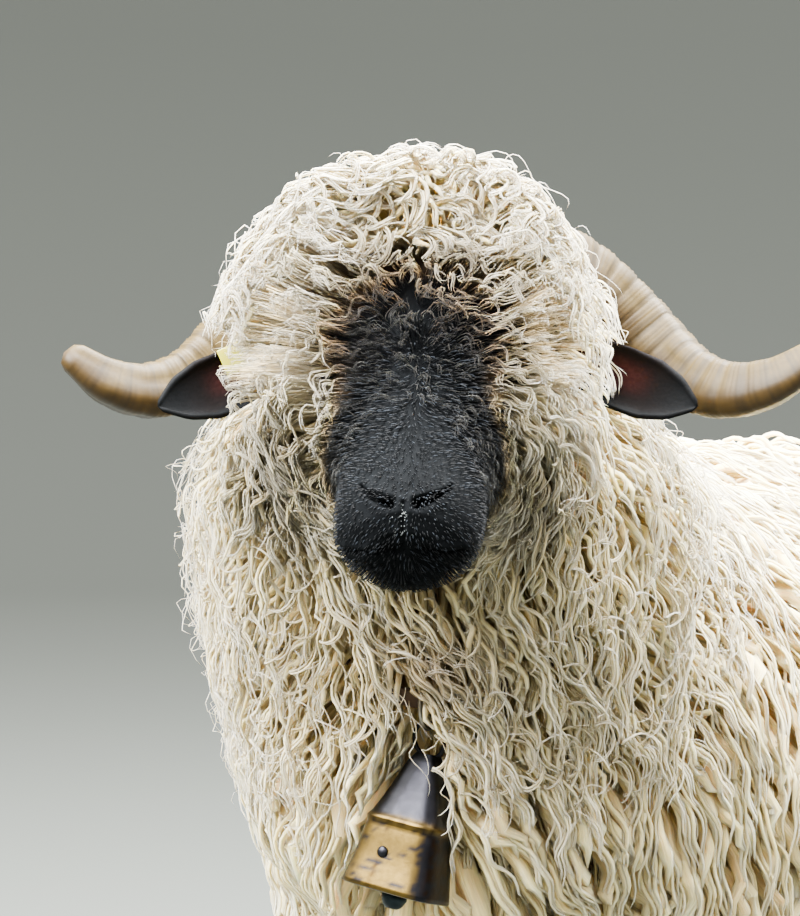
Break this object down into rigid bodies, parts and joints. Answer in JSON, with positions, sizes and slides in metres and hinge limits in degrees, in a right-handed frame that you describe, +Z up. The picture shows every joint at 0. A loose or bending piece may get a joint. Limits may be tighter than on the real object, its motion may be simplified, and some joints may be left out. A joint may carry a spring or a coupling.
{
  "type": "valais blacknose sheep",
  "caption": "Still, life-size, standing horned sheep with long curly cream fleece, black muzzle, knees and feet, its head turned, wearing a bell on a collar and a blank ear tag.",
  "frame": {"origin": "on the floor, at the middle of the bounding box", "axes": "+Z up; the body faces -Y, its left side is +X; the head turns towards +X"},
  "size_m": [0.6006, 1.2418, 1.0062],
  "materials": {
    "fleece": "long curly wool",
    "head_wool": "curly wool over a black face",
    "leg_wool": "short wool with black knees and feet",
    "black_coat": "short black hair",
    "horn": "ringed horn, satin",
    "hoof": "black horn, worn",
    "eye": "wet",
    "bell_metal": "forged sheet, brazed, patinated",
    "iron": "dark forged iron",
    "strap": "oiled leather",
    "tag": "blank moulded plastic"
  },
  "bodies": {
    "root": {"torso": "fleece", "neck": "fleece", "head": "head_wool", "tail": "fleece", "leg_front_left": "leg_wool", "leg_front_right": "leg_wool", "leg_hind_left": "leg_wool", "leg_hind_right": "leg_wool", "front_left_claw_outer": "hoof", "front_left_claw_inner": "hoof", "front_right_claw_outer": "hoof", "front_right_claw_inner": "hoof", "hind_left_claw_outer": "hoof", "hind_left_claw_inner": "hoof", "hind_right_claw_outer": "hoof", "hind_right_claw_inner": "hoof", "ear_left": "black_coat", "ear_right": "black_coat", "eye_left": "eye", "eye_right": "eye", "horn_left": "horn", "horn_right": "horn", "bell": "bell_metal", "clapper": "iron", "bell_ring": "iron", "collar": "strap", "ear_tag": "tag"}
  },
  "joints": []
}
